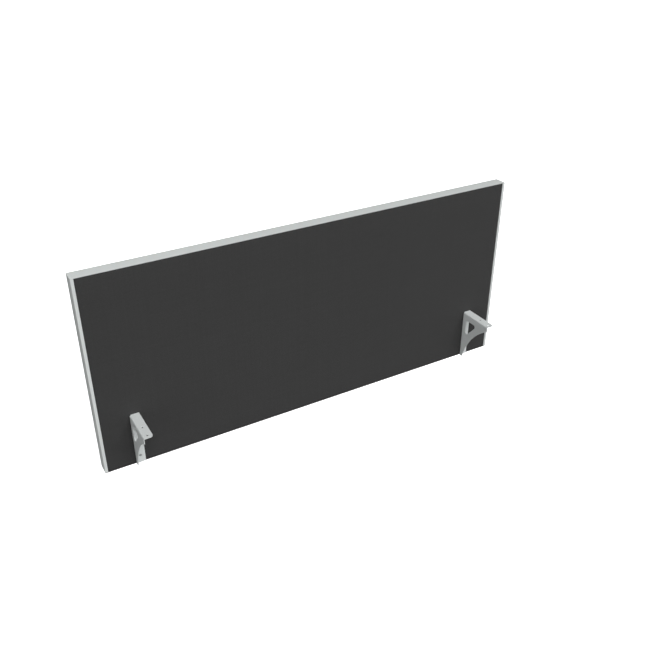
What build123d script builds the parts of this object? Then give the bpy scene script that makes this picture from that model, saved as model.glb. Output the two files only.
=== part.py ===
"""Desk privacy panel: an upholstered acoustic screen that hangs behind a desk on two folded brackets.

Millimetres, +X along the panel, +Y away from the sitter, +Z up.
The origin is the middle of the four desk screw holes, on top of the brackets, where the desk top rests.
The panel stands behind the origin, and reaches both above and below the desk top.
"""

import os

from build123d import *

os.makedirs("parts", exist_ok=True)

# ---- Panel -------------------------------------------------------------------------------------
panel_length = 1400.0
panel_height = 620.0
panel_depth = 41.0
panel_below_desk = 172.0  # from the desk top's underside to the panel's lower edge

# ---- Side profiles: hollow extrusions with a groove for the core -------------------------------
profile_width = 9.0  # what shows of them from the front
profile_end_wall = 2.0
profile_wall = 1.6
profile_corner = 1.2

# ---- Core, pads and covers ---------------------------------------------------------------------
core_thickness = 16.0
core_groove_clearance = 0.15  # each side of the core in the groove
core_end_clearance = 0.5  # from the core's edge to the bottom of the groove
fabric_recess = 0.5  # how far the fabric lies behind the profile's face
fabric_thickness = 1.0
fabric_corner = 3.0
pad_gap = 0.3  # between a pad and the frame round it

# ---- Rails in the core's thickness and the strips that close them ------------------------------
rail_height = 15.0
rail_wall = 1.5
rail_bead = 0.5  # inward beads at the rail's mouth, which hold the strips' legs
rail_bead_height = 1.0
rail_end_gap = 0.1
top_strip_thickness = 1.0
bottom_strip_thickness = 1.5
strip_leg_wall = 1.2
strip_leg_length = 6.0
strip_leg_clearance = 0.15
strip_leg_hook = 0.4
strip_leg_gap = 2.0  # between a leg's end and the corner key

# ---- Corner keys -------------------------------------------------------------------------------
key_bridge = 3.0
key_clearance = 0.1
key_prong_length = 25.0
key_tongue_length = 45.0
key_tongue_height = 6.0
key_tongue_clearance = 0.15
key_lead_in = 0.8  # chamfer on the prongs' tips
key_screw_places = (14.0, 34.0)  # from the side profile's inner face

# ---- Small screws in the frame -----------------------------------------------------------------
frame_screw_radius = 1.75
frame_screw_length = 18.0
frame_screw_head_radius = 3.4
frame_screw_head_height = 2.0
frame_screw_recess_radius = 1.5
frame_screw_recess_depth = 1.2
pilot_clearance = 0.05
rail_screw_count = 6
rail_screw_offset = 40.0  # from a bracket's centre line to the rail screw next to it

# ---- Brackets ----------------------------------------------------------------------------------
bracket_centre_inset = 106.0  # from the panel's end to the bracket's centre line
bracket_width = 28.0
bracket_sheet = 2.0
bracket_reach = 124.0  # in front of the panel's face
bracket_bend_radius = 1.5  # inside the bend
bracket_bend_relief = 1.0
bracket_nose_height = 17.5
bracket_foot_depth = 13.5
bracket_arc_radius = 240.0
bracket_nose_corner = 9.0
bracket_foot_corner = 3.0
window_back = 18.5  # from the panel's face to the window's upright side
window_top = 23.5  # below the desk top's underside
window_nose_margin = 51.0  # from the window's front corner to the nose
window_foot_margin = 84.5  # from the window's lower corner to the panel's lower edge
window_corner = 7.5

# ---- Desk screw holes: the interface with the desk top -----------------------------------------
desk_hole_radius = 3.25
desk_hole_spacing = 40.0
desk_hole_margin = 12.0  # from the bracket's front edge to the front hole

# ---- Bracket screws, sleeves and inserts -------------------------------------------------------
bracket_screw_radius = 2.0
bracket_screw_length = 25.0
bracket_screw_head_radius = 3.8
bracket_screw_hole_clearance = 0.3
countersink_clearance = 0.02  # round the head in its seat
bracket_screw_drop = 25.0  # from the desk top's underside to the upper screw
bracket_screw_edge = 8.5  # from the core's lower edge to the lower screw
hex_socket_radius = 1.45  # to the socket's corners
hex_socket_depth = 1.4
sleeve_wall = 3.0
sleeve_clearance = 0.25
insert_radius = 4.0
insert_length = 12.0
insert_clearance = 0.05
insert_bore_clearance = 0.05
insert_hole_extra_depth = 0.5

# ---- Places worked out from the sizes ----------------------------------------------------------
face_y = bracket_reach - desk_hole_margin - desk_hole_spacing / 2
mid_y = face_y + panel_depth / 2
bottom_z = -panel_below_desk
top_z = bottom_z + panel_height
frame_top_z = top_z - top_strip_thickness
frame_bottom_z = bottom_z + bottom_strip_thickness
core_top_z = frame_top_z - rail_height
core_bottom_z = frame_bottom_z + rail_height
half_length = panel_length / 2
inner_half = half_length - profile_width
groove_half = core_thickness / 2 + core_groove_clearance
chamber_width = profile_width - profile_end_wall - profile_wall
chamber_depth = panel_depth / 2 - profile_wall - groove_half - profile_wall
chamber_mid = groove_half + profile_wall + chamber_depth / 2
core_half = half_length - profile_end_wall - core_end_clearance
fabric_front_y = face_y + fabric_recess
core_front_y = mid_y - core_thickness / 2
pad_depth = core_front_y - fabric_front_y
rail_inside = core_thickness - 2 * rail_wall
rail_half = inner_half - rail_end_gap

bracket_back_y = face_y
bracket_front_y = face_y - bracket_reach
bend_outer = bracket_bend_radius + bracket_sheet
bracket_centres = {
    "left": -half_length + bracket_centre_inset,
    "right": half_length - bracket_centre_inset,
}
bracket_screw_heights = (core_bottom_z + bracket_screw_edge, -bracket_screw_drop)
window_depth = bracket_reach - window_back - window_nose_margin
window_height = panel_below_desk - window_top - window_foot_margin
sleeve_bore = bracket_screw_radius + bracket_screw_hole_clearance
sleeve_radius = sleeve_bore + sleeve_wall
insert_bore = bracket_screw_radius + insert_bore_clearance

# The upper and lower frame levels: local X runs along the panel and local Z into it.
frame_levels = {
    "top": Plane((0, mid_y, frame_top_z), x_dir=(1, 0, 0), z_dir=(0, 0, -1)),
    "bottom": Plane((0, mid_y, frame_bottom_z), x_dir=(1, 0, 0), z_dir=(0, 0, 1)),
}
strip_thicknesses = {"top": top_strip_thickness, "bottom": bottom_strip_thickness}
sides = {"left": -1, "right": 1}


def save(piece, label):
    """Labels a finished piece and writes its STEP file."""
    piece.part.label = label
    export_step(piece.part, f"parts/{label}.step")


def section_plane(level, start):
    """The plane across a rail at x = start: local X across the panel, local Y into it, Z along it."""
    origin = level.origin + Vector(start, 0, 0)
    across = level.z_dir.cross(Vector(1, 0, 0))
    return Plane(origin, x_dir=across, z_dir=(1, 0, 0))


def rail_screw_points():
    """Where the screws that hold a rail to the core stand, on the frame levels' planes."""
    first = bracket_centres["right"] - rail_screw_offset
    step = 2 * first / (rail_screw_count - 1)
    return [(-first + i * step, 0) for i in range(rail_screw_count)]


def key_screw_points():
    """Where the screws that hold the corner keys' tongues stand, on the frame levels' planes."""
    return [(way * (inner_half - place), 0) for way in sides.values() for place in key_screw_places]


def bracket_screw_points():
    """x and z of every bracket screw."""
    return [(x, z) for x in bracket_centres.values() for z in bracket_screw_heights]


# ---- Side profiles -----------------------------------------------------------------------------
for side, way in sides.items():
    with BuildPart() as side_profile:
        with BuildSketch(Plane.XY.offset(frame_bottom_z)):
            with Locations((way * (half_length - profile_width / 2), mid_y)):
                outline = Rectangle(profile_width, panel_depth)
            fillet(outline.vertices(), profile_corner)
            chamber_x = way * (half_length - profile_end_wall - chamber_width / 2)
            with Locations((chamber_x, mid_y - chamber_mid), (chamber_x, mid_y + chamber_mid)):
                Rectangle(chamber_width, chamber_depth, mode=Mode.SUBTRACT)
            groove_depth = profile_width - profile_end_wall
            with Locations((way * (inner_half + groove_depth / 2), mid_y)):
                Rectangle(groove_depth, 2 * groove_half, mode=Mode.SUBTRACT)
        extrude(amount=frame_top_z - frame_bottom_z)
        for level in frame_levels.values():
            with BuildSketch(level):
                with Locations((chamber_x, 0)):
                    Rectangle(chamber_width, 2 * (chamber_mid + chamber_depth / 2))
            extrude(amount=key_bridge, mode=Mode.SUBTRACT)
    save(side_profile, f"{side}_side_profile")

# ---- Rails -------------------------------------------------------------------------------------
for end, level in frame_levels.items():
    with BuildPart() as rail:
        with BuildSketch(section_plane(level, -rail_half)):
            with Locations((0, rail_height / 2)):
                Rectangle(core_thickness, rail_height)
            with Locations((0, (rail_height - rail_wall) / 2)):
                Rectangle(rail_inside, rail_height - rail_wall, mode=Mode.SUBTRACT)
            with Locations((rail_inside / 2 - rail_bead / 2, rail_bead_height / 2)):
                Rectangle(rail_bead, rail_bead_height)
            with Locations((-rail_inside / 2 + rail_bead / 2, rail_bead_height / 2)):
                Rectangle(rail_bead, rail_bead_height)
        extrude(amount=2 * rail_half)
        # The beads stop where the corner keys' tongues go in.
        bead_cut = key_tongue_length + strip_leg_gap
        with BuildSketch(level):
            with Locations((-rail_half + bead_cut / 2, 0), (rail_half - bead_cut / 2, 0)):
                Rectangle(bead_cut, rail_inside)
        extrude(amount=rail_bead_height, mode=Mode.SUBTRACT)
        with Locations(level.offset(rail_height - rail_wall)):
            with Locations(key_screw_points() + rail_screw_points()):
                Cylinder(
                    frame_screw_radius + pilot_clearance,
                    3 * rail_wall,
                    mode=Mode.SUBTRACT,
                )
    save(rail, f"{end}_rail")

# ---- Cover strips ------------------------------------------------------------------------------
leg_outer = rail_inside / 2 - rail_bead - strip_leg_clearance
leg_half_length = inner_half - key_tongue_length - 2 * strip_leg_gap
for end, level in frame_levels.items():
    with BuildPart() as strip:
        with BuildSketch(level):
            plate = Rectangle(panel_length, panel_depth)
            fillet(plate.vertices(), profile_corner)
        extrude(amount=-strip_thicknesses[end])
        with BuildSketch(section_plane(level, -leg_half_length)):
            for across in (-1, 1):
                hook_top = rail_bead_height + strip_leg_clearance
                with BuildLine():
                    Polyline(
                        (across * leg_outer, 0),
                        (across * leg_outer, hook_top),
                        (across * (leg_outer + strip_leg_hook), hook_top),
                        (across * (leg_outer - strip_leg_hook), strip_leg_length),
                        (across * (leg_outer - strip_leg_wall), strip_leg_length),
                        (across * (leg_outer - strip_leg_wall), 0),
                        close=True,
                    )
                make_face()
        extrude(amount=2 * leg_half_length)
    save(strip, f"{end}_cover_strip")

# ---- Corner keys -------------------------------------------------------------------------------
for end, level in frame_levels.items():
    for side, way in sides.items():
        chamber_x = way * (half_length - profile_end_wall - chamber_width / 2)
        prong_width = chamber_width - 2 * key_clearance
        prong_depth = chamber_depth - 2 * key_clearance
        with BuildPart() as key:
            # The bridge lies in the milled end of the side profile.
            with BuildSketch(level.offset(key_clearance)):
                with Locations((chamber_x, 0)):
                    Rectangle(prong_width, 2 * chamber_mid + prong_depth)
            extrude(amount=key_bridge - 2 * key_clearance)
            # Two prongs go down into the profile's chambers.
            with BuildSketch(level.offset(key_clearance)):
                with Locations((chamber_x, chamber_mid), (chamber_x, -chamber_mid)):
                    Rectangle(prong_width, prong_depth)
            extrude(amount=key_prong_length)
            # The hub fills the groove, and the tongue runs on into the rail.
            hub_inner = inner_half + rail_end_gap
            hub_outer = half_length - profile_end_wall - key_clearance
            with BuildSketch(level.offset(key_clearance)):
                with Locations((way * (hub_inner + hub_outer) / 2, 0)):
                    Rectangle(hub_outer - hub_inner, 2 * (groove_half - key_clearance))
            tongue_floor = rail_height - rail_wall
            extrude(amount=tongue_floor - key_clearance)
            tongue_end = inner_half - key_tongue_length
            with BuildSketch(level.offset(tongue_floor - key_tongue_height)):
                with Locations((way * (tongue_end + hub_inner) / 2, 0)):
                    Rectangle(hub_inner - tongue_end, rail_inside - 2 * key_tongue_clearance)
            extrude(amount=key_tongue_height)
            with Locations(level.offset(tongue_floor - key_tongue_height)):
                with Locations([(way * (inner_half - place), 0) for place in key_screw_places]):
                    Cylinder(
                        frame_screw_radius + pilot_clearance,
                        3 * key_tongue_height,
                        mode=Mode.SUBTRACT,
                    )
            tips = key.faces().sort_by(Axis(level.origin, level.z_dir))[-2:]
            chamfer(tips.edges(), key_lead_in)
        save(key, f"{end}_{side}_corner_key")


def frame_screw():
    """A pan-head screw of the frame: under its head at local Z = 0, with the shank along +Z."""
    with BuildPart() as screw:
        with BuildSketch(Plane.XZ):
            with BuildLine():
                Polyline(
                    (0, -frame_screw_head_height),
                    (frame_screw_head_radius, -frame_screw_head_height),
                    (frame_screw_head_radius, 0),
                    (frame_screw_radius, 0),
                    (frame_screw_radius, frame_screw_length - frame_screw_radius),
                    (0, frame_screw_length),
                    close=True,
                )
            make_face()
        revolve(axis=Axis.Z)
        rim = screw.faces().sort_by(Axis.Z)[0].outer_wire().edges()
        fillet(rim, frame_screw_head_height / 2)
        with BuildSketch(Plane.XY.offset(-frame_screw_head_height)):
            RegularPolygon(frame_screw_recess_radius, 6)
        extrude(amount=frame_screw_recess_depth, mode=Mode.SUBTRACT)
    return screw.part


# ---- Frame screws ------------------------------------------------------------------------------
one_frame_screw = frame_screw()
for end, level in frame_levels.items():
    with BuildPart() as key_screws:
        with Locations(level.offset(rail_height - rail_wall - key_tongue_height)):
            with Locations(key_screw_points()):
                add(one_frame_screw)
    save(key_screws, f"{end}_key_screws")

    with BuildPart() as rail_screws:
        with Locations(level.offset(rail_height - rail_wall)):
            with Locations(rail_screw_points()):
                add(one_frame_screw)
    save(rail_screws, f"{end}_rail_screws")

# ---- Core --------------------------------------------------------------------------------------
with BuildPart() as core:
    with BuildSketch(Plane.XZ.offset(-core_front_y)):
        with Locations((0, (core_bottom_z + core_top_z) / 2)):
            Rectangle(2 * core_half, core_top_z - core_bottom_z)
    extrude(amount=-core_thickness)
    for level in frame_levels.values():
        with Locations(level.offset(rail_height)):
            with Locations(key_screw_points() + rail_screw_points()):
                Cylinder(
                    frame_screw_radius + pilot_clearance,
                    frame_screw_length,
                    align=(Align.CENTER, Align.CENTER, Align.MIN),
                    mode=Mode.SUBTRACT,
                )
    with BuildSketch(Plane.XZ.offset(-core_front_y)):
        with Locations(bracket_screw_points()):
            Circle(insert_radius + insert_clearance)
    extrude(amount=-(insert_length + insert_hole_extra_depth), mode=Mode.SUBTRACT)
save(core, "core_board")

# ---- Foam slabs and their fabric covers --------------------------------------------------------
pad_length = 2 * (inner_half - pad_gap)
pad_low_z = frame_bottom_z + pad_gap
pad_high_z = frame_top_z - pad_gap
pad_height = pad_high_z - pad_low_z
pad_mid_z = (pad_low_z + pad_high_z) / 2
# Each face's plane lies on the core and points outwards.
pad_planes = {
    "front": Plane((0, core_front_y, pad_mid_z), x_dir=(1, 0, 0), z_dir=(0, -1, 0)),
    "rear": Plane((0, core_front_y + core_thickness, pad_mid_z), x_dir=(-1, 0, 0), z_dir=(0, 1, 0)),
}
sleeve_hole_points = {
    "front": [(x, z - pad_mid_z) for x, z in bracket_screw_points()],
    "rear": [],
}


def rounded_slab(plane, inset, holes):
    """A slab on the plane, smaller than the pad by inset on its sides and face, with a rounded face edge."""
    with BuildPart() as slab:
        with BuildSketch(plane):
            Rectangle(pad_length - 2 * inset, pad_height - 2 * inset)
        extrude(amount=pad_depth - inset)
        face = slab.faces().sort_by(Axis(plane.origin, plane.z_dir))[-1]
        fillet(face.outer_wire().edges(), fabric_corner - inset)
        if holes:
            with BuildSketch(plane):
                with Locations(holes):
                    Circle(sleeve_radius + sleeve_clearance)
            extrude(amount=pad_depth, mode=Mode.SUBTRACT)
    return slab.part


for face, plane in pad_planes.items():
    with BuildPart() as foam:
        add(rounded_slab(plane, fabric_thickness, sleeve_hole_points[face]))
    save(foam, f"{face}_foam")

    with BuildPart() as fabric:
        add(rounded_slab(plane, 0, sleeve_hole_points[face]))
        add(rounded_slab(plane, fabric_thickness, []), mode=Mode.SUBTRACT)
    save(fabric, f"{face}_fabric")

# ---- Brackets ----------------------------------------------------------------------------------
for side, centre in bracket_centres.items():
    web_x = centre - bracket_width / 2
    with BuildPart() as bracket:
        # The upright web, with its hollow front edge and its three-cornered window.
        with BuildSketch(Plane.YZ.offset(web_x)):
            with BuildLine():
                nose = (bracket_front_y, -bracket_nose_height)
                foot = (bracket_back_y - bracket_foot_depth, bottom_z)
                Polyline(
                    foot,
                    (bracket_back_y, bottom_z),
                    (bracket_back_y, 0),
                    (bracket_front_y, 0),
                    nose,
                )
                RadiusArc(nose, foot, bracket_arc_radius)
            make_face()
            window_y = face_y - window_back
            with BuildLine(mode=Mode.PRIVATE) as window_line:
                Polyline(
                    (window_y, -window_top),
                    (window_y - window_depth, -window_top),
                    (window_y, -window_top - window_height),
                    close=True,
                )
            with BuildSketch(Plane.XY, mode=Mode.PRIVATE) as window:
                add(window_line.line)
                make_face()
                fillet(window.vertices(), window_corner)
            add(window.sketch, mode=Mode.SUBTRACT)
        extrude(amount=bracket_sheet)

        # The back flange lies on the panel's face, and the top flange under the desk top.
        back_flange_top = -bend_outer - bracket_bend_relief
        back_flange_height = back_flange_top - bottom_z
        with BuildSketch(Plane.XZ.offset(-bracket_back_y)):
            with Locations((centre, bottom_z + back_flange_height / 2)):
                Rectangle(bracket_width, back_flange_height)
        extrude(amount=bracket_sheet)
        with BuildSketch(Plane.XY):
            with Locations((centre, (bracket_front_y + bracket_back_y) / 2)):
                Rectangle(bracket_width, bracket_back_y - bracket_front_y)
        extrude(amount=-bracket_sheet)

        # A square relief where the two bends would meet.
        with BuildSketch(Plane.XY):
            with Locations((web_x, bracket_back_y)):
                Rectangle(2 * bend_outer, 2 * bend_outer)
        extrude(amount=-bend_outer, mode=Mode.SUBTRACT)

        upright_edges = bracket.edges().filter_by(Axis.Z)
        inner_x = web_x + bracket_sheet
        inner_y = bracket_back_y - bracket_sheet
        back_bend = upright_edges.sort_by_distance((web_x, bracket_back_y, bottom_z / 2))[0]
        back_bend_inside = upright_edges.sort_by_distance((inner_x, inner_y, bottom_z / 2))[0]
        level_edges = bracket.edges().filter_by(Axis.Y)
        level_y = (bracket_front_y + bracket_back_y) / 2
        top_bend = level_edges.sort_by_distance((web_x, level_y, 0))[0]
        top_bend_inside = level_edges.sort_by_distance((inner_x, level_y, -bracket_sheet))[0]
        fillet([back_bend, top_bend], bend_outer)
        fillet([back_bend_inside, top_bend_inside], bracket_bend_radius)

        free_x = web_x + bracket_width
        nose_corner = bracket.edges().filter_by(Axis.Z).sort_by_distance((free_x, bracket_front_y, 0))[0]
        fillet(nose_corner, bracket_nose_corner)
        foot_corner = bracket.edges().filter_by(Axis.Y).sort_by_distance((free_x, inner_y, bottom_z))[0]
        fillet(foot_corner, bracket_foot_corner)

        with Locations(Plane((centre, 0, 0), x_dir=(1, 0, 0), z_dir=(0, 0, 1))):
            with GridLocations(0, desk_hole_spacing, 1, 2):
                Hole(desk_hole_radius, depth=bracket_sheet)
        with Locations(Plane((0, inner_y, 0), x_dir=(1, 0, 0), z_dir=(0, -1, 0))):
            with Locations([(centre, z) for z in bracket_screw_heights]):
                CounterSinkHole(
                    sleeve_bore,
                    bracket_screw_head_radius + countersink_clearance,
                    counter_sink_angle=90,
                )
    save(bracket, f"{side}_bracket")


def bracket_screw():
    """A countersunk screw with a hex socket: its head's face at local Z = 0, its shank along -Z."""
    head_height = bracket_screw_head_radius - bracket_screw_radius
    with BuildPart() as screw:
        with BuildSketch(Plane.XZ):
            with BuildLine():
                Polyline(
                    (0, 0),
                    (bracket_screw_head_radius, 0),
                    (bracket_screw_radius, -head_height),
                    (bracket_screw_radius, -bracket_screw_length),
                    (0, -bracket_screw_length),
                    close=True,
                )
            make_face()
        revolve(axis=Axis.Z)
        chamfer(screw.faces().sort_by(Axis.Z)[0].edges(), bracket_screw_radius / 4)
        with BuildSketch(Plane.XY):
            RegularPolygon(hex_socket_radius, 6)
        extrude(amount=-hex_socket_depth, mode=Mode.SUBTRACT)
    return screw.part


def ring_set(outer, bore, length, centre, start_y):
    """Two tubes in line with a bracket's screws, from start_y into the panel."""
    with BuildPart() as tubes:
        with BuildSketch(Plane.XZ.offset(-start_y)):
            with Locations([(centre, z) for z in bracket_screw_heights]):
                Circle(outer)
                Circle(bore, mode=Mode.SUBTRACT)
        extrude(amount=-length)
    return tubes


# ---- Bracket screws, sleeves and inserts -------------------------------------------------------
one_bracket_screw = bracket_screw()
for side, centre in bracket_centres.items():
    screw_face = Plane((0, bracket_back_y - bracket_sheet, 0), x_dir=(1, 0, 0), z_dir=(0, -1, 0))
    with BuildPart() as bracket_screws:
        with Locations(screw_face):
            with Locations([(centre, z) for z in bracket_screw_heights]):
                add(one_bracket_screw)
    save(bracket_screws, f"{side}_bracket_screws")

    sleeve_length = core_front_y - bracket_back_y
    sleeves = ring_set(sleeve_radius, sleeve_bore, sleeve_length, centre, bracket_back_y)
    save(sleeves, f"{side}_bracket_sleeves")

    inserts = ring_set(insert_radius, insert_bore, insert_length, centre, core_front_y)
    save(inserts, f"{side}_bracket_inserts")
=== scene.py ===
"""Looks of the desk privacy panel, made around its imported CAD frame.

Metres, with +X along the panel, +Y away from the sitter and +Z up, as in the CAD.
The hard parts keep their CAD shape. The ones that show are copied with eased edges.
The foam slabs and the fabric stretched over them are worked out here, in the space of their CAD solids.
"""

import math

import bmesh
import bpy
import numpy as np
from bpy.props import FloatProperty, FloatVectorProperty, PointerProperty
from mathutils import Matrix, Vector


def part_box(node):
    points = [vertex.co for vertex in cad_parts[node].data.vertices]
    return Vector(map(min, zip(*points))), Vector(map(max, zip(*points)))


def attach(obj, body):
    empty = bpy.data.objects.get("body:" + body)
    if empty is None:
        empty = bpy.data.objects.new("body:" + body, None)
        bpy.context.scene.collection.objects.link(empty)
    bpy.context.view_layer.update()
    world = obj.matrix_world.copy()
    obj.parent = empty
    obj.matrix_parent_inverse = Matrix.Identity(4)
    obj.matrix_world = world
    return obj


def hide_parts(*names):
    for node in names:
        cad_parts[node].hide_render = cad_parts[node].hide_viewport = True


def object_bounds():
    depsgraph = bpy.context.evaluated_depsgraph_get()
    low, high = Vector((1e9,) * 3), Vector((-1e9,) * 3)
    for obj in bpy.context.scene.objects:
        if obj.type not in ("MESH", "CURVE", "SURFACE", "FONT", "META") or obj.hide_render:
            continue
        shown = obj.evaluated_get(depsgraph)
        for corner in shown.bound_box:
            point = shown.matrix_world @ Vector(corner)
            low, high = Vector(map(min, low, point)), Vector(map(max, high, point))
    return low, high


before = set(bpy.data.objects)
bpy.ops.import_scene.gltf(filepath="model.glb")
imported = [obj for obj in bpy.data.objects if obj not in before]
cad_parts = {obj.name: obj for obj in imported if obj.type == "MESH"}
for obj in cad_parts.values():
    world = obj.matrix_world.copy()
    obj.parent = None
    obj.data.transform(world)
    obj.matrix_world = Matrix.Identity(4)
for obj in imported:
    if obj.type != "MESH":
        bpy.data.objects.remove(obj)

bl_info = {
    "name": "Desk Privacy Panel",
    "version": (1, 0, 0),
    "blender": (4, 5, 0),
    "location": "3D View > Sidebar > Privacy Panel",
    "description": "Foam, stretched fabric, coated brackets, anodised edges and a plain studio",
    "category": "Object",
}

# ---- Sizes read from the frame -----------------------------------------------------------------
CAD_LOW, CAD_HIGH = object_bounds()
BRACKETS = ("left_bracket", "right_bracket")
SLEEVES = ("left_bracket_sleeves", "right_bracket_sleeves")
COVER_BOXES = {face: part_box(f"{face}_fabric") for face in ("front", "rear")}
FOAM_BOXES = {face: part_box(f"{face}_foam") for face in ("front", "rear")}
OUTWARDS = {"front": -1.0, "rear": 1.0}
CLOTH = FOAM_BOXES["front"][0].y - COVER_BOXES["front"][0].y
FRAME_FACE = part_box("left_side_profile")[0].y
SLEEVE_GAP = 0.00025  # between the cloth or foam and a sleeve
PRESSED_GAP = 0.00005  # between the pressed cloth and a bracket's flange
WELD_REACH = 1e-6  # points closer than this are one point
CUT_DIGITS = 6  # decimals to which grid stops are compared


def sleeve_centres():
    """x and z of the middle of every sleeve, as an array with a row for each."""
    rows = []
    for name in SLEEVES:
        low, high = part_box(name)
        radius = (high.x - low.x) / 2
        for z in (low.z + radius, high.z - radius):
            rows.append(((low.x + high.x) / 2, z))
    return np.array(rows)


SLEEVE_CENTRES = sleeve_centres()
SLEEVE_RADIUS = (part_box(SLEEVES[0])[1].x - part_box(SLEEVES[0])[0].x) / 2


# ---- Settings a user would change --------------------------------------------------------------
class CoverSettings(bpy.types.PropertyGroup):
    """The fabric covers and how they lie on the foam."""

    edge_radius: FloatProperty(
        name="Edge radius",
        description="Radius of the rolled edge where the cover turns down beside the frame",
        default=0.003,
        unit="LENGTH",
    )
    crown: FloatProperty(
        name="Crown",
        description="How far the foam pushes the cover out beyond its edge",
        default=0.0011,
        unit="LENGTH",
    )
    crown_reach: FloatProperty(
        name="Crown reach",
        description="Distance from the edge over which the cover rises to its crown",
        default=0.014,
        unit="LENGTH",
    )
    flange_ease: FloatProperty(
        name="Flange ease",
        description="Distance over which the cover recovers beside a bracket's flange",
        default=0.012,
        unit="LENGTH",
    )
    ripple: FloatProperty(
        name="Ripple",
        description="Height of the slow unevenness left in a hand-stretched cover",
        default=0.00012,
        unit="LENGTH",
    )
    pitch: FloatProperty(
        name="Grid pitch",
        description="Distance between the grid lines of a cover",
        default=0.008,
        unit="LENGTH",
    )
    yarn_pitch: FloatProperty(
        name="Yarn pitch",
        description="Distance from one yarn of the weave to the next",
        default=0.00095,
        unit="LENGTH",
        precision=5,
    )
    colour: FloatVectorProperty(
        name="Fabric colour",
        description="Middle colour of the melange yarns",
        subtype="COLOR",
        default=(0.0355, 0.0355, 0.0355),
    )


class MetalSettings(bpy.types.PropertyGroup):
    """The metal edges and the brackets."""

    bracket_ease: FloatProperty(
        name="Bracket edge ease",
        description="Width of the eased edge on the laser-cut and coated brackets",
        default=0.0003,
        unit="LENGTH",
        precision=5,
    )
    trim_ease: FloatProperty(
        name="Trim edge ease",
        description="Width of the eased edge on the strips, side profiles and screws",
        default=0.00015,
        unit="LENGTH",
        precision=5,
    )
    aluminium: FloatVectorProperty(
        name="Anodised aluminium",
        description="Colour of the satin silver side profiles and top strip",
        subtype="COLOR",
        default=(0.68, 0.71, 0.70),
    )
    coating: FloatVectorProperty(
        name="Bracket coating",
        description="Colour of the powder coat on the brackets",
        subtype="COLOR",
        default=(0.665, 0.695, 0.69),
    )


class StageSettings(bpy.types.PropertyGroup):
    """The camera, the lights and the floor."""

    azimuth: FloatProperty(
        name="Azimuth",
        description="Turn of the camera round the panel, 0 looking along +Y",
        default=math.radians(-30),
        subtype="ANGLE",
    )
    elevation: FloatProperty(
        name="Elevation",
        description="Height of the camera above the horizon",
        default=math.radians(30),
        subtype="ANGLE",
    )
    distance: FloatProperty(
        name="Distance",
        description="From the camera to the point it aims at",
        default=2.316,
        unit="LENGTH",
    )
    aim_forward: FloatProperty(
        name="Aim forward",
        description="How far in front of the object's middle the camera aims",
        default=0.002,
        unit="LENGTH",
        precision=4,
    )
    lens: FloatProperty(
        name="Lens",
        description="Focal length in millimetres on a 36 mm sensor",
        default=42.61,
    )
    floor_drop: FloatProperty(
        name="Floor drop",
        description="From the desk top's underside down to the floor",
        default=0.72,
        unit="LENGTH",
    )
    floor_radius: FloatProperty(
        name="Floor radius",
        description="Radius of the round floor",
        default=40.0,
        unit="LENGTH",
    )
    from_above: FloatProperty(
        name="Light from above",
        description="Brightness of the room above the horizon",
        default=0.08,
    )
    from_below: FloatProperty(
        name="Light from below",
        description="Brightness that the pale floor gives back",
        default=0.16,
    )
    key: FloatProperty(
        name="Key light",
        description="Strength of the soft light from the front and above",
        default=3.15,
    )
    side: FloatProperty(
        name="Side lights",
        description="Strength of the soft lights from the left and the right",
        default=0.82,
    )
    rear: FloatProperty(
        name="Rear light",
        description="Strength of the soft light from behind",
        default=2.7,
    )


# ---- Shader nodes ------------------------------------------------------------------------------
class Signal:
    """An output socket. Operators on it add Math nodes, so shader sums read as plain expressions."""

    def __init__(self, recipe, socket):
        self.recipe = recipe
        self.socket = socket

    def math(self, operation, *terms):
        """A Math node of these terms."""
        return self.recipe.add("ShaderNodeMath", {"operation": operation}, dict(enumerate(terms)))

    def __add__(self, other):
        return self.math("ADD", self, other)

    def __sub__(self, other):
        return self.math("SUBTRACT", self, other)

    def __rsub__(self, other):
        return self.math("SUBTRACT", other, self)

    def __mul__(self, other):
        return self.math("MULTIPLY", self, other)

    def __truediv__(self, other):
        return self.math("DIVIDE", self, other)

    def __gt__(self, other):
        return self.math("GREATER_THAN", self, other)

    __radd__ = __add__
    __rmul__ = __mul__

    def floor(self):
        return self.math("FLOOR", self)

    def fraction(self):
        return self.math("FRACT", self)

    def sine(self):
        return self.math("SINE", self)

    def at_least(self, other):
        return self.math("MAXIMUM", self, other)

    def distance_from(self, place):
        return self.math("ABSOLUTE", self - place)

    def ramp(self, low, high):
        """0 below low, 1 above high and smooth between. low above high turns it round."""
        settings = {"interpolation_type": "SMOOTHSTEP"}
        links = {"Value": self, "From Min": low, "From Max": high}
        return self.recipe.add("ShaderNodeMapRange", settings, links)


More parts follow.
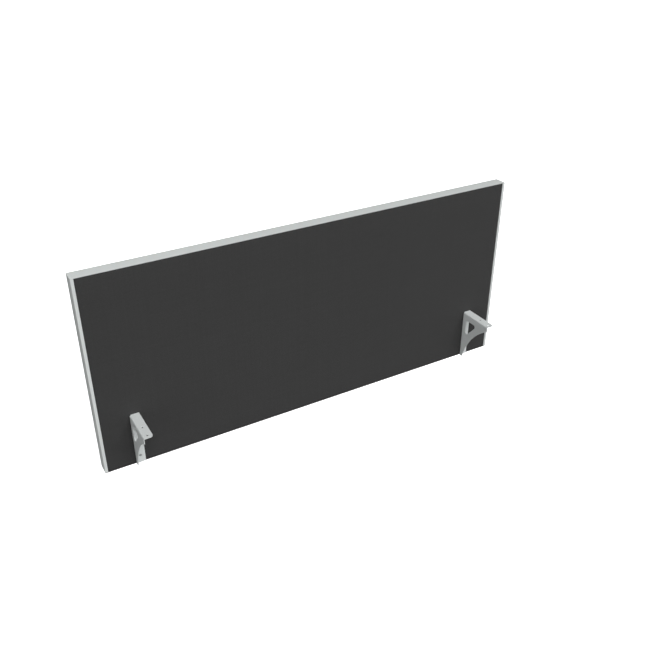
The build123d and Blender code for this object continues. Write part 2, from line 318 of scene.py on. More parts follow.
class Recipe:
    """One material's nodes. add() makes any node and returns one of its outputs as a Signal."""

    def __init__(self, name, library=bpy.data.materials):
        self.material = library.new(name)
        self.material.use_nodes = True
        self.tree = self.material.node_tree
        self.tree.nodes.clear()
        self.place = self.add("ShaderNodeTexCoord", output="Object")

    def add(self, kind, settings=None, links=None, output=0):
        """A node of this kind: its settings first, then a value or Signal for each input."""
        node = self.tree.nodes.new(kind)
        for name, value in (settings or {}).items():
            setattr(node, name, value)
        for name, value in (links or {}).items():
            if isinstance(value, Signal):
                self.tree.links.new(value.socket, node.inputs[name])
            else:
                node.inputs[name].default_value = value
        return None if output is None else Signal(self, node.outputs[output])

    def split(self, vector):
        """The three numbers of a vector."""
        return [self.add("ShaderNodeSeparateXYZ", None, {0: vector}, axis) for axis in range(3)]

    def stretch(self, factors, vector=None):
        """The place, or another vector, multiplied by a factor along each axis."""
        links = {0: vector or self.place, 1: factors}
        return self.add("ShaderNodeVectorMath", {"operation": "MULTIPLY"}, links)

    def noise(self, factors, detail=2.0, roughness=0.5, vector=None):
        """Soft noise from 0 to 1, with a number of features per metre for each axis."""
        links = {"Vector": self.stretch(factors, vector), "Scale": 1.0}
        links["Detail"] = detail
        links["Roughness"] = roughness
        return self.add("ShaderNodeTexNoise", None, links, "Fac")

    def cells(self, factors, feature="F1", output="Distance", vector=None):
        """Cell noise, with a number of cells per metre for each axis."""
        links = {"Vector": self.stretch(factors, vector), "Scale": 1.0}
        return self.add("ShaderNodeTexVoronoi", {"feature": feature}, links, output)

    def random(self, vector):
        """A random number from 0 to 1 for each vector."""
        return self.add("ShaderNodeTexWhiteNoise", None, {"Vector": vector}, "Value")

    def join(self, x, y, z=0.0):
        """A vector of three numbers."""
        return self.add("ShaderNodeCombineXYZ", None, {0: x, 1: y, 2: z})

    def shade(self, colour, factor):
        """A colour multiplied by a number."""
        links = {0: colour, "Scale": factor}
        return self.add("ShaderNodeVectorMath", {"operation": "SCALE"}, links)

    def blend(self, first, second, share):
        """A colour that goes from first to second as share goes from 0 to 1."""
        # A Mix node keeps its colour factor, first, second and result at places 0, 6, 7 and 2.
        first, second = (end if isinstance(end, Signal) else opaque(end) for end in (first, second))
        return self.add("ShaderNodeMix", {"data_type": "RGBA"}, {0: share, 6: first, 7: second}, 2)

    def bump(self, height, distance, strength=1.0):
        """A normal raised by a height from 0 to 1, distance metres high at 1."""
        links = {"Height": height, "Distance": distance, "Strength": strength}
        return self.add("ShaderNodeBump", None, links)

    def finish(self, **links):
        """Closes the material with a Principled surface. Each word names an input, with _ for a space."""
        named = {name.replace("_", " "): value for name, value in links.items()}
        self.close("ShaderNodeOutputMaterial", self.add("ShaderNodeBsdfPrincipled", None, named))
        return self.material

    def close(self, kind, surface):
        """Links a finished surface to an output node of this kind."""
        self.add(kind, None, {"Surface": surface}, None)


def opaque(colour):
    """A colour with its alpha."""
    return (*colour, 1.0)


# ---- Finishes ----------------------------------------------------------------------------------
def anthracite_weave(settings):
    """Plain weave of melange yarns. Each yarn is a round rib that dips under every second crossing yarn, and
    the colour carries painted shade where they dip.
    """
    cloth = Recipe("anthracite_weave")
    flat = cloth.add("ShaderNodeUVMap", {"uv_map": "Cut"})
    across, along, _ = cloth.split(flat)
    warp = across / settings.yarn_pitch
    weft = along / settings.yarn_pitch
    warp_number = warp.floor()
    weft_number = weft.floor()
    warp_rib = (warp.fraction() * math.pi).sine()
    weft_rib = (weft.fraction() * math.pi).sine()
    warp_wave = ((weft + warp_number) * math.pi).sine()
    weft_wave = ((warp + weft_number) * math.pi).sine() * -1.0
    warp_height = warp_rib * 0.6 + warp_wave * 0.4
    weft_height = weft_rib * 0.6 + weft_wave * 0.4
    height = warp_height.at_least(weft_height)
    warp_on_top = warp_height > weft_height

    # Every yarn has its own shade, and its fibres change shade slowly along it.
    warp_shade = cloth.random(cloth.join(warp_number, 11.0))
    weft_shade = cloth.random(cloth.join(weft_number, 47.0))
    warp_fibres = cloth.noise((1100.0, 160.0, 1.0), 3.0, 0.6, flat)
    weft_fibres = cloth.noise((160.0, 1100.0, 1.0), 3.0, 0.6, flat)
    warp_tone = warp_shade * 0.12 + warp_fibres
    weft_tone = weft_shade * 0.12 + weft_fibres
    tone = weft_tone + (warp_tone - weft_tone) * warp_on_top
    lie = cloth.noise((9.0, 9.0, 1.0), 2.0, 0.5, flat)
    # Painted shade: the colour darkens where the yarns dip, as shade falls in the crevices of the weave.
    painted_crevice_shade = height.at_least(0.0) * 0.55 + 0.62
    brightness = (tone * 0.9 + 0.45) * painted_crevice_shade * (lie * 0.04 + 0.98)
    colour = cloth.shade(tuple(settings.colour), brightness)
    fuzz = cloth.noise((5200.0, 5200.0, 1.0), 2.0, 0.6, flat)
    normal = cloth.bump(height + fuzz * 0.25, settings.yarn_pitch * 0.22, 0.55)
    return cloth.finish(
        Base_Color=colour,
        Roughness=0.92 - tone * 0.1,
        Specular_IOR_Level=0.25,
        Sheen_Weight=0.06,
        Sheen_Roughness=0.45,
        Normal=normal,
    )


def anodised(name, settings, grain, edge_planes):
    """Satin anodised extrusion: fine die lines along the grain axis, soft clouding and worn edges."""
    metal = Recipe(name)
    fine = [1400.0, 1400.0, 1400.0]
    fine[grain] = 3.0
    coarse = [240.0, 240.0, 240.0]
    coarse[grain] = 1.2
    die_lines = metal.noise(tuple(fine), 3.0, 0.65)
    broad_lines = metal.noise(tuple(coarse), 1.0)
    cloud = metal.noise((14.0, 14.0, 14.0), 3.0)
    grit = metal.noise((9000.0, 9000.0, 9000.0), 1.0)
    worn = worn_edges(metal, edge_planes, 0.0006)
    brightness = 0.93 + die_lines * 0.07 + broad_lines * 0.05 + cloud * 0.03
    colour = metal.shade(tuple(settings.aluminium), brightness)
    colour = metal.blend(colour, (0.82, 0.83, 0.83), worn * 0.2)
    rough = 0.36 + die_lines * 0.12 + cloud * 0.06 - worn * 0.1
    normal = metal.bump(die_lines * 0.7 + grit * 0.3, 0.00003, 0.35)
    return metal.finish(Base_Color=colour, Metallic=0.2, Roughness=rough, Normal=normal)


def worn_edges(recipe, planes, width):
    """1 on an edge, 0 further than width from it, broken up by noise. Each plane is (axis, place)."""
    axes = recipe.split(recipe.place)
    worn = None
    for axis, place in planes:
        near = axes[axis].distance_from(place).ramp(width, width * 0.2)
        worn = near if worn is None else worn.at_least(near)
    patches = recipe.noise((260.0, 260.0, 260.0), 4.0, 0.65).ramp(0.45, 0.75)
    return worn * patches


def powder_coat(settings):
    """Silver powder coat: orange peel, metal flake and a little more gloss on the high spots."""
    coat = Recipe("powder_coat")
    peel = coat.noise((900.0, 900.0, 900.0), 2.0, 0.4)
    flake = coat.cells((5200.0, 5200.0, 5200.0), "F1", "Color")
    flake_red, _, _ = coat.split(flake)
    cloud = coat.noise((30.0, 30.0, 30.0), 3.0)
    rubbed = coat.noise((220.0, 60.0, 220.0), 4.0, 0.7).ramp(0.62, 0.8)
    brightness = 0.95 + flake_red * 0.09 + cloud * 0.03 - rubbed * 0.03
    colour = coat.shade(tuple(settings.coating), brightness)
    rough = 0.44 + peel * 0.1 + flake_red * 0.06 - rubbed * 0.08
    normal = coat.bump(peel, 0.00004, 0.45)
    return coat.finish(Base_Color=colour, Metallic=0.12, Roughness=rough, Normal=normal)


def extruded_plastic():
    """Charcoal strip plastic, matt along its drawn surface with faint lines and scuffs."""
    plastic = Recipe("extruded_plastic")
    lines = plastic.noise((4.0, 1300.0, 1300.0), 3.0, 0.6)
    grain = plastic.noise((3500.0, 3500.0, 3500.0), 2.0)
    scuffs = plastic.noise((35.0, 500.0, 500.0), 4.0, 0.7).ramp(0.6, 0.8)
    colour = plastic.blend((0.03, 0.03, 0.031), (0.055, 0.055, 0.056), lines * 0.6 + scuffs * 0.3)
    normal = plastic.bump(lines * 0.6 + grain * 0.4, 0.00003, 0.4)
    return plastic.finish(Base_Color=colour, Roughness=0.46 + grain * 0.12 - scuffs * 0.08, Normal=normal)


def mill_finish():
    """Bare aluminium as it leaves the die: bright lines along the length, dull in patches."""
    metal = Recipe("mill_finish")
    lines = metal.noise((4.0, 900.0, 900.0), 4.0, 0.7)
    patches = metal.noise((40.0, 40.0, 40.0), 4.0, 0.6)
    colour = metal.blend((0.52, 0.53, 0.54), (0.74, 0.75, 0.76), lines * 0.7 + patches * 0.3)
    normal = metal.bump(lines, 0.00004, 0.5)
    return metal.finish(Base_Color=colour, Metallic=0.95, Roughness=0.3 + patches * 0.2, Normal=normal)


def zinc_plate(name):
    """Blue-bright zinc on screws: small crystals and a faint tint that wanders."""
    zinc = Recipe(name)
    crystals, _, _ = zinc.split(zinc.cells((1500.0, 1500.0, 1500.0), "F1", "Color"))
    tint = zinc.noise((300.0, 300.0, 300.0), 3.0)
    dulled = zinc.noise((800.0, 800.0, 800.0), 4.0, 0.65).ramp(0.45, 0.75)
    colour = zinc.blend((0.36, 0.38, 0.42), (0.48, 0.48, 0.45), tint)
    return zinc.finish(
        Base_Color=zinc.shade(colour, 0.9 + crystals * 0.15 - dulled * 0.12),
        Metallic=0.9,
        Roughness=0.26 + crystals * 0.12 + dulled * 0.14,
        Normal=zinc.bump(crystals, 0.00001, 0.4),
    )


def filled_nylon():
    """Glass-filled nylon of the corner keys: near black with short pale fibres at the surface."""
    nylon = Recipe("filled_nylon")
    fibres = nylon.noise((500.0, 3000.0, 3000.0), 3.0, 0.7).ramp(0.58, 0.72)
    grain = nylon.noise((2500.0, 2500.0, 2500.0), 2.0)
    colour = nylon.blend((0.018, 0.018, 0.019), (0.075, 0.075, 0.078), fibres)
    normal = nylon.bump(grain, 0.00003, 0.5)
    return nylon.finish(Base_Color=colour, Roughness=0.5 + fibres * 0.15, Normal=normal)


def chipboard():
    """Pressed wood chips: wavering flakes in several wood tones, with finer dust pressed between them."""
    board = Recipe("chipboard")
    waver = {"Vector": board.stretch((170.0, 170.0, 170.0)), "Scale": 1.0, "Detail": 3.0}
    drift = board.shade(board.add("ShaderNodeTexNoise", None, waver, "Color"), 0.006)
    place = board.add("ShaderNodeVectorMath", {"operation": "ADD"}, {0: board.place, 1: drift})
    flake = (100.0, 600.0, 330.0)
    tone, warmth, lift = board.split(board.cells(flake, "F1", "Color", place))
    gap = board.cells(flake, "DISTANCE_TO_EDGE", vector=place).ramp(0.0, 0.2)
    speck, _, _ = board.split(board.cells((900.0, 1500.0, 1300.0), "F1", "Color", place))
    fibres = board.noise((90.0, 2000.0, 1500.0), 3.0, 0.6, place)
    pale = board.blend((0.60, 0.44, 0.27), (0.40, 0.26, 0.14), tone * 0.8 + speck * 0.2)
    warm = board.blend(pale, (0.52, 0.32, 0.17), warmth * 0.4)
    dust = board.blend((0.46, 0.32, 0.19), (0.28, 0.18, 0.10), speck)
    colour = board.blend(dust, warm, gap * (0.55 + lift * 0.45))
    normal = board.bump(gap * 0.4 + lift * 0.3 + fibres * 0.3, 0.0002, 0.6)
    return board.finish(
        Base_Color=board.shade(colour, 0.82 + fibres * 0.3),
        Roughness=0.78 + fibres * 0.12,
        Normal=normal,
    )


def open_cell_foam():
    """Acoustic foam: rounded open cells under half a millimetre across, slightly yellowed in patches, with
    painted shade in the hollows of the cells and pores.
    """
    foam = Recipe("open_cell_foam")
    cells = foam.cells((2100.0, 2100.0, 2100.0))
    pores = foam.cells((900.0, 900.0, 900.0)).ramp(0.12, 0.3)
    yellowed = foam.noise((12.0, 12.0, 12.0), 3.0)
    # Painted shade: the colour is darker towards the middle of each cell, where the bump is lowest.
    tone = cells * 0.5 + 0.6
    colour = foam.blend((0.36, 0.36, 0.35), (0.42, 0.40, 0.35), yellowed)
    normal = foam.bump(cells * 0.5 + pores * 0.5, 0.0004, 0.7)
    # Painted shade: the colour also darkens inside the pores, down to 0.45 of its tone.
    colour = foam.shade(colour, tone * pores.at_least(0.45))
    return foam.finish(Base_Color=colour, Roughness=0.95, Normal=normal)


def turned_brass():
    """Brass of the threaded inserts, with turning lines along the bore's axis and light tarnish."""
    brass = Recipe("turned_brass")
    turning = brass.noise((60.0, 5200.0, 60.0), 2.0)
    tarnish = brass.noise((260.0, 260.0, 260.0), 4.0, 0.6)
    colour = brass.blend((0.78, 0.56, 0.25), (0.55, 0.36, 0.15), tarnish)
    normal = brass.bump(turning, 0.00003, 0.5)
    return brass.finish(Base_Color=colour, Metallic=1.0, Roughness=0.24 + tarnish * 0.2, Normal=normal)


def dress(piece, material):
    """Gives a piece its one material."""
    piece.data.materials.clear()
    piece.data.materials.append(material)


# ---- Surfaces ----------------------------------------------------------------------------------
def spaced(low, high, pitch, stops):
    """Numbers from low to high that include every stop, evenly spaced between stops at about pitch."""
    ends = np.unique(np.round(np.concatenate([[low, high], stops]), CUT_DIGITS))
    ends = ends[(ends >= low - WELD_REACH) & (ends <= high + WELD_REACH)]
    runs = [
        np.linspace(first, last, max(1, round((last - first) / pitch)), endpoint=False)
        for first, last in zip(ends[:-1], ends[1:])
    ]
    return np.append(np.concatenate(runs), high)


def rolled_sheet(box, outward, settings, pitch, holes, hole_radius):
    """A cover's outer surface, as points, their places on the flat cut, and the quads between them.

    The face is a grid over x and z. Round it, rings carry a profile along the outline: a quarter circle of
    the edge radius, then a straight wall down to the core. A ring's point lies from the face's nearest grid
    point in the direction that its own index leaves the grid, so the four corners turn as quarter circles.
    On the face the cloth stands out by crown times (1 - e^(-distance to the edge / reach)), less what the
    bracket flanges hold down, plus slow waves. Round a hole, the grid closes into a circle.
    """
    low, high = box
    radius = settings.edge_radius
    arc_steps, wall_steps = 6, 3
    rings = arc_steps + wall_steps
    # Round a hole the grid has fine steps. The inner ones are left out,
    # and the rest turn from square to round.
    fine_step = 0.0015
    window_steps, hole_steps = 9, 3
    offsets = np.arange(-window_steps, window_steps + 1) * fine_step
    x_lines = spaced(low.x + radius, high.x - radius, pitch, (holes[:, :1] + offsets).ravel())
    z_lines = spaced(low.z + radius, high.z - radius, pitch, (holes[:, 1:] + offsets).ravel())

    columns, rows = len(x_lines), len(z_lines)
    i, j = np.meshgrid(np.arange(-rings, columns + rings), np.arange(-rings, rows + rings), indexing="ij")
    near_i = i.clip(0, columns - 1)
    near_j = j.clip(0, rows - 1)
    out_i, out_j = i - near_i, j - near_j
    ring = np.maximum(abs(out_i), abs(out_j))
    length = np.maximum(np.hypot(out_i, out_j), 1.0)
    toward_x, toward_z = out_i / length, out_j / length

    turn = (ring / arc_steps).clip(0, 1) * math.pi / 2
    wall = (ring - arc_steps).clip(0, None) / wall_steps * (high.y - low.y - radius)
    reach = radius * np.sin(turn)
    depth = radius * (1 - np.cos(turn)) + wall
    face_x, face_z = x_lines[near_i], z_lines[near_j]
    x, z = face_x + toward_x * reach, face_z + toward_z * reach
    cut = radius * turn + wall
    cut_x, cut_z = face_x + toward_x * cut, face_z + toward_z * cut

    inside = np.ones(x.shape, bool)
    for hole_x, hole_z in holes:
        away_x, away_z = face_x - hole_x, face_z - hole_z
        square = np.maximum(abs(away_x), abs(away_z))
        own = np.maximum(np.hypot(away_x, away_z), 1e-9)
        share = ((square / fine_step - hole_steps) / (window_steps - hole_steps)).clip(0, 1)
        scale = np.where(ring == 0, ((1 - share) * hole_radius + share * own) / own, 1.0)
        moved = (ring == 0) & (share < 1)
        x = np.where(moved, hole_x + away_x * scale, x)
        z = np.where(moved, hole_z + away_z * scale, z)
        inside &= square > (hole_steps - 0.5) * fine_step
    cut_x = np.where(ring == 0, x, cut_x)
    cut_z = np.where(ring == 0, z, cut_z)

    edge = np.minimum(np.minimum(x - low.x, high.x - x), np.minimum(z - low.z, high.z - z)).clip(0, None)
    rise = settings.crown * (1 - np.exp(-edge / settings.crown_reach))
    waves = np.sin(7.3 * x + 1.1 * np.sin(5.1 * z)) * np.sin(11.7 * z + 0.9 * np.sin(4.3 * x + 0.6))
    wave_reach = 4 * settings.crown_reach
    rise += settings.ripple * waves * (1 - np.exp(-edge / wave_reach))
    fade = np.cos(turn) * (wall == 0)
    rise = rise * fade
    if outward < 0:
        rise = rise - pressed_down(x, z, rise - (low.y - FRAME_FACE), settings)
    y = np.where(outward < 0, low.y + depth - rise, high.y - depth + rise)

    points = np.stack([x, y, z], -1).reshape(-1, 3)
    cut_places = np.stack([cut_x, cut_z], -1).reshape(-1, 2)
    number = np.arange(x.size).reshape(x.shape)
    corners = [number[:-1, :-1], number[1:, :-1], number[1:, 1:], number[:-1, 1:]]
    quads = np.stack(corners, -1).reshape(-1, 4)
    kept = inside.ravel()[quads].any(1) if len(holes) else np.ones(len(quads), bool)
    quads = quads[kept]
    if outward > 0:
        quads = quads[:, ::-1]
    return points, cut_places, quads


def pressed_down(x, z, stands_out, settings):
    """How far the bracket flanges push the cover in: all that stands out of the frame's face under a
    flange, fading to nothing over the ease distance beside it."""
    held = np.zeros(x.shape)
    for name in BRACKETS:
        low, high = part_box(name)
        aside = np.maximum(np.maximum(low.x - x, x - high.x), np.maximum(z - high.z, low.z - z)).clip(0, None)
        held = np.maximum(held, np.exp(-((aside / settings.flange_ease) ** 2)))
    return held * (stands_out + PRESSED_GAP).clip(0, None)


def free_edges(quads):
    """The edges that only one quad has, in that quad's direction."""
    edges = np.concatenate([quads[:, [k, (k + 1) % 4]] for k in range(4)])
    _, first, uses = np.unique(np.sort(edges, 1), axis=0, return_index=True, return_counts=True)
    return edges[first[uses == 1]]


def between(outer, inner, quads):
    """A closed solid between two sheets with the same quads: both sheets, and walls on their free edges."""
    count = len(outer)
    rim = free_edges(quads)
    walls = np.stack([rim[:, 1], rim[:, 0], rim[:, 0] + count, rim[:, 1] + count], 1)
    faces = np.concatenate([quads, quads[:, ::-1] + count, walls])
    return np.concatenate([outer, inner]), faces


def make_mesh(name, points, faces, cut_places=None):
    """An object of these points and quads, smooth, with the flat cut's places as its UV map."""
    used, faces = np.unique(faces, return_inverse=True)
    faces = faces.reshape(-1, 4)
    points = points[used]
    mesh = bpy.data.meshes.new(name)
    mesh.from_pydata(points, [], faces)
    mesh.polygons.foreach_set("use_smooth", np.ones(len(faces), bool))
    if cut_places is not None:
        layer = mesh.uv_layers.new(name="Cut")
        layer.uv.foreach_set("vector", cut_places[used][faces.ravel()].astype(np.float32).ravel())
    mesh.validate()
    mesh.update()
    piece = bpy.data.objects.new(name, mesh)
    bpy.context.scene.collection.objects.link(piece)
    return piece


def weld(piece):
    """Joins a piece's points that lie on each other, which drops the faces between them without area."""
    shell = bmesh.new()
    shell.from_mesh(piece.data)
    bmesh.ops.remove_doubles(shell, verts=shell.verts, dist=WELD_REACH)
    shell.to_mesh(piece.data)
    shell.free()


def vertex_normals(points, quads):
    """The unit normal at each point, averaged from its quads."""
    across = points[quads[:, 2]] - points[quads[:, 0]]
    up = points[quads[:, 3]] - points[quads[:, 1]]
    facing = np.cross(across, up)
    normals = np.zeros_like(points)
    for corner in range(4):
        np.add.at(normals, quads[:, corner], facing)
    return normals / np.maximum(np.linalg.norm(normals, axis=1, keepdims=True), 1e-12)


def eased_copy(node, width, segments=2):
    """A copy of a CAD node for its looks: doubles merged, flat areas joined, sharp edges bevelled."""
    sharp = math.radians(32)
    shell = bmesh.new()
    shell.from_mesh(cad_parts[node].data)
    bmesh.ops.remove_doubles(shell, verts=shell.verts, dist=WELD_REACH)
    flat = math.radians(0.4)
    bmesh.ops.dissolve_limit(shell, angle_limit=flat, verts=shell.verts, edges=shell.edges)
    for face in shell.faces:
        face.smooth = True
    for edge in shell.edges:
        edge.smooth = edge.is_manifold and edge.calc_face_angle() < sharp
    mesh = bpy.data.meshes.new(f"{node}_eased")
    shell.to_mesh(mesh)
    shell.free()
    piece = bpy.data.objects.new(f"{node}_eased", mesh)
    bpy.context.scene.collection.objects.link(piece)
    bevel = piece.modifiers.new("Eased edges", "BEVEL")
    bevel.limit_method = "ANGLE"
    bevel.angle_limit = sharp
    bevel.width = width
    bevel.segments = segments
    bevel.harden_normals = True
    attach(piece, "root")
    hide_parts(node)
    return piece


# ---- Operators ---------------------------------------------------------------------------------
class PANEL_OT_foam_pads(bpy.types.Operator):
    """Makes the two foam slabs that lie under the covers, crowned like them and bored for the sleeves"""

    bl_idname = "privacy_panel.foam_pads"
    bl_label = "Foam pads"

    def execute(self, context):
        settings = context.scene.cover_settings
        material = open_cell_foam()
        for face, box in COVER_BOXES.items():
            outward = OUTWARDS[face]
            holes = SLEEVE_CENTRES if face == "front" else np.zeros((0, 2))
            hole_radius = SLEEVE_RADIUS + SLEEVE_GAP
            sheet, _, quads = rolled_sheet(box, outward, settings, 2 * settings.pitch, holes, hole_radius)
            skin = sheet - vertex_normals(sheet, quads) * CLOTH
            foam_low, foam_high = FOAM_BOXES[face]
            core_side = foam_high.y if outward < 0 else foam_low.y
            skin = np.clip(skin, foam_low - Vector((0, CLOTH, 0)), foam_high + Vector((0, CLOTH, 0)))
            stop_at = np.minimum if outward < 0 else np.maximum
            skin[:, 1] = stop_at(skin[:, 1], core_side)
            back = skin.copy()
            back[:, 1] = core_side
            piece = make_mesh(f"{face}_foam_pad", *between(skin, back, quads))
            weld(piece)
            dress(piece, material)
            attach(piece, "root")
            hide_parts(f"{face}_foam")
        return {"FINISHED"}


class PANEL_OT_fabric_covers(bpy.types.Operator):
    """Makes the woven covers, stretched over the foam and rolled down beside the frame"""

    bl_idname = "privacy_panel.fabric_covers"
    bl_label = "Fabric covers"

    def execute(self, context):
        settings = context.scene.cover_settings
        material = anthracite_weave(settings)
        for face, box in COVER_BOXES.items():
            outward = OUTWARDS[face]
            holes = SLEEVE_CENTRES if face == "front" else np.zeros((0, 2))
            hole_radius = SLEEVE_RADIUS + SLEEVE_GAP
            sheet, cut, quads = rolled_sheet(box, outward, settings, settings.pitch, holes, hole_radius)
            inner = sheet - vertex_normals(sheet, quads) * CLOTH
            points, faces = between(sheet, inner, quads)
            piece = make_mesh(f"{face}_fabric_cover", points, faces, np.concatenate([cut, cut]))
            dress(piece, material)
            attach(piece, "root")
            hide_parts(f"{face}_fabric")
        return {"FINISHED"}


class PANEL_OT_brackets(bpy.types.Operator):
    """Coats the two folded brackets and eases their cut edges"""

    bl_idname = "privacy_panel.brackets"
    bl_label = "Brackets"

    def execute(self, context):
        settings = context.scene.metal_settings
        material = powder_coat(settings)
        for node in BRACKETS:
            dress(eased_copy(node, settings.bracket_ease), material)
        return {"FINISHED"}


class PANEL_OT_bracket_screws(bpy.types.Operator):
    """Plates the countersunk screws and eases the rims of their heads and sockets"""

    bl_idname = "privacy_panel.bracket_screws"
    bl_label = "Bracket screws"

    def execute(self, context):
        settings = context.scene.metal_settings
        material = zinc_plate("zinc_screw_heads")
        for node in ("left_bracket_screws", "right_bracket_screws"):
            dress(eased_copy(node, settings.trim_ease), material)
        return {"FINISHED"}


class PANEL_OT_frame_edges(bpy.types.Operator):
    """Finishes the side profiles and the two cover strips that frame the panel"""

    bl_idname = "privacy_panel.frame_edges"
    bl_label = "Frame edges"

    def execute(self, context):
        settings = context.scene.metal_settings
        ease = settings.trim_ease
        faces = [(1, CAD_HIGH.y), (1, FRAME_FACE)]
        upright = anodised("anodised_profile", settings, 2, faces)
        for node in ("left_side_profile", "right_side_profile"):
            dress(eased_copy(node, ease), upright)
        level = anodised("anodised_strip", settings, 0, [*faces, (0, CAD_LOW.x), (0, CAD_HIGH.x)])
        dress(eased_copy("top_cover_strip", ease), level)
        dress(eased_copy("bottom_cover_strip", ease), extruded_plastic())
        return {"FINISHED"}


class PANEL_OT_inner_parts(bpy.types.Operator):
    """Gives the rails, keys, screws, sleeves, inserts and the core board their finishes"""

    bl_idname = "privacy_panel.inner_parts"
    bl_label = "Inner parts"

    def execute(self, context):
        finishes = {
            "mill_aluminium": mill_finish(),
            "key_nylon": filled_nylon(),
            "zinc_steel": zinc_plate("zinc_plate"),
            "core_chipboard": chipboard(),
            "insert_brass": turned_brass(),
        }
        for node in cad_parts.values():
            slot = node.data.materials[0].name
            if slot in finishes:
                dress(node, finishes[slot])
        return {"FINISHED"}


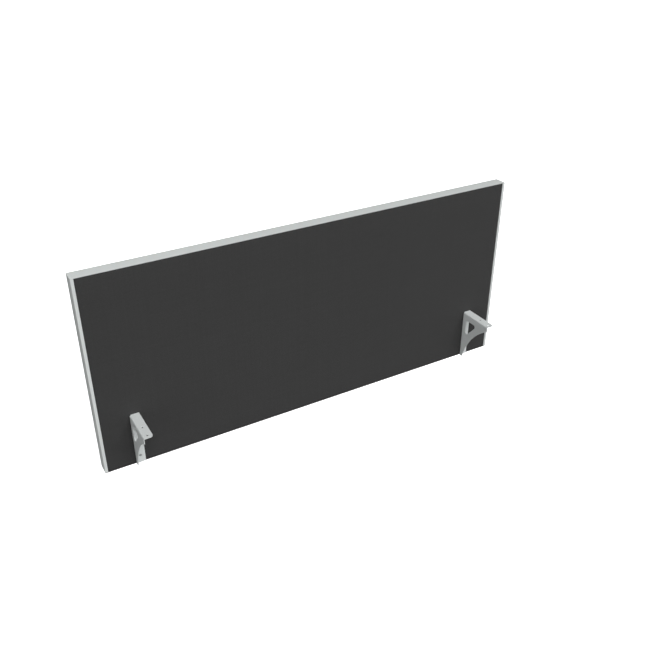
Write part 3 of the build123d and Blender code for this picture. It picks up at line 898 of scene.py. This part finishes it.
class PANEL_OT_stage(bpy.types.Operator):
    """Sets the pale floor, the soft studio light and the camera"""

    bl_idname = "privacy_panel.stage"
    bl_label = "Stage"

    LIGHT_SPREAD = math.radians(50)
    LAMP_DISTANCE = 4.0  # a sun shines alike from anywhere, so this only places its symbol
    HORIZON = 0.2  # half the height over which the light from below turns into the light from above
    SENSOR = 36.0  # millimetres
    FLOOR_GLOW = 0.7
    FLOOR_SIDES = 96

    def execute(self, context):
        settings = context.scene.stage_settings
        self.lay_floor(settings)
        self.surround(context.scene, settings)
        self.soft_light("key_light", settings.key, Vector((0.05, -0.72, 0.69)))
        self.soft_light("left_light", settings.side, Vector((-0.88, -0.42, 0.2)))
        self.soft_light("right_light", settings.side, Vector((0.88, -0.42, 0.2)), glints=False)
        self.soft_light("rear_light", settings.rear, Vector((0.0, 0.98, 0.12)), glints=False)
        self.place_camera(context.scene, settings)
        context.scene.view_settings.view_transform = "Standard"
        return {"FINISHED"}

    def lay_floor(self, settings):
        """A round floor a desk's height down. Only the camera sees it, so it casts no light back."""
        shell = bmesh.new()
        bmesh.ops.create_circle(shell, cap_ends=True, segments=self.FLOOR_SIDES, radius=settings.floor_radius)
        bmesh.ops.translate(shell, verts=shell.verts, vec=(0, 0, -settings.floor_drop))
        mesh = bpy.data.meshes.new("floor")
        shell.to_mesh(mesh)
        shell.free()
        floor = bpy.data.objects.new("floor", mesh)
        bpy.context.scene.collection.objects.link(floor)
        pale = Recipe("pale_floor")
        speck = pale.noise((30.0, 30.0, 30.0), 3.0)
        colour = pale.shade((0.94, 0.94, 0.94), 0.99 + speck * 0.02)
        floor.data.materials.append(
            pale.finish(
                Base_Color=colour,
                Roughness=0.9,
                Specular_IOR_Level=0.0,
                Emission_Color=(1.0, 1.0, 1.0, 1.0),
                Emission_Strength=self.FLOOR_GLOW,
            )
        )
        floor.visible_diffuse = False
        floor.visible_glossy = False
        floor.visible_shadow = False

    def surround(self, scene, settings):
        """Dim light from the room above and the floor below. What the camera itself sees of it is white."""
        room = Recipe("studio", bpy.data.worlds)
        _, _, height = room.split(room.add("ShaderNodeTexCoord", output="Generated"))
        share = height.ramp(-self.HORIZON, self.HORIZON)
        strength = share * (settings.from_above - settings.from_below) + settings.from_below
        glow = room.add("ShaderNodeBackground", None, {"Strength": strength})
        plain = room.add("ShaderNodeBackground", None, {"Color": opaque((1.0, 1.0, 1.0))})
        seen = room.add("ShaderNodeLightPath", output="Is Camera Ray")
        mixed = room.add("ShaderNodeMixShader", None, {0: seen, 1: glow, 2: plain})
        room.close("ShaderNodeOutputWorld", mixed)
        scene.world = room.material

    def soft_light(self, name, strength, toward, glints=True):
        """A wide soft light from the given direction, even over the whole panel. Without glints it only
        fills the shade, as a light behind a large diffuser does."""
        light = bpy.data.lights.new(name, "SUN")
        light.energy = strength
        light.angle = self.LIGHT_SPREAD
        lamp = bpy.data.objects.new(name, light)
        bpy.context.scene.collection.objects.link(lamp)
        lamp.location = toward.normalized() * self.LAMP_DISTANCE
        lamp.rotation_euler = toward.to_track_quat("Z", "Y").to_euler()
        lamp.visible_glossy = glints

    def place_camera(self, scene, settings):
        """The camera stands at its azimuth, elevation and distance from just in front of the middle."""
        middle = (CAD_LOW + CAD_HIGH) / 2 - Vector((0, settings.aim_forward, 0))
        level = math.cos(settings.elevation)
        back = Vector(
            (
                math.sin(settings.azimuth) * level,
                -math.cos(settings.azimuth) * level,
                math.sin(settings.elevation),
            )
        )
        data = bpy.data.cameras.new("camera")
        data.lens = settings.lens
        data.sensor_width = self.SENSOR
        data.clip_end = 3 * settings.floor_radius
        camera = bpy.data.objects.new("camera", data)
        scene.collection.objects.link(camera)
        camera.location = middle + back * settings.distance
        camera.rotation_euler = (-back).to_track_quat("-Z", "Y").to_euler()
        scene.camera = camera


OPERATORS = (
    PANEL_OT_foam_pads,
    PANEL_OT_fabric_covers,
    PANEL_OT_frame_edges,
    PANEL_OT_brackets,
    PANEL_OT_bracket_screws,
    PANEL_OT_inner_parts,
    PANEL_OT_stage,
)


class PANEL_PT_sidebar(bpy.types.Panel):
    """Lists the panel's pieces and their settings"""

    bl_idname = "PANEL_PT_sidebar"
    bl_label = "Privacy Panel"
    bl_space_type = "VIEW_3D"
    bl_region_type = "UI"
    bl_category = "Privacy Panel"

    def draw(self, context):
        layout = self.layout
        for operator in OPERATORS:
            layout.operator(operator.bl_idname)
        for settings in SETTINGS:
            group = getattr(context.scene, settings)
            box = layout.box()
            for name in group.bl_rna.properties.keys():
                if name not in ("name", "rna_type"):
                    box.prop(group, name)


SETTINGS = {
    "cover_settings": CoverSettings,
    "metal_settings": MetalSettings,
    "stage_settings": StageSettings,
}


def register():
    for group in SETTINGS.values():
        bpy.utils.register_class(group)
    for operator in OPERATORS:
        bpy.utils.register_class(operator)
    bpy.utils.register_class(PANEL_PT_sidebar)
    for name, group in SETTINGS.items():
        setattr(bpy.types.Scene, name, PointerProperty(type=group))


def unregister():
    for name in SETTINGS:
        delattr(bpy.types.Scene, name)
    bpy.utils.unregister_class(PANEL_PT_sidebar)
    for operator in reversed(OPERATORS):
        bpy.utils.unregister_class(operator)
    for group in SETTINGS.values():
        bpy.utils.unregister_class(group)


def main():
    register()
    bpy.ops.privacy_panel.foam_pads()
    bpy.ops.privacy_panel.fabric_covers()
    bpy.ops.privacy_panel.frame_edges()
    bpy.ops.privacy_panel.brackets()
    bpy.ops.privacy_panel.bracket_screws()
    bpy.ops.privacy_panel.inner_parts()
    bpy.ops.privacy_panel.stage()


if __name__ == "__main__":
    main()
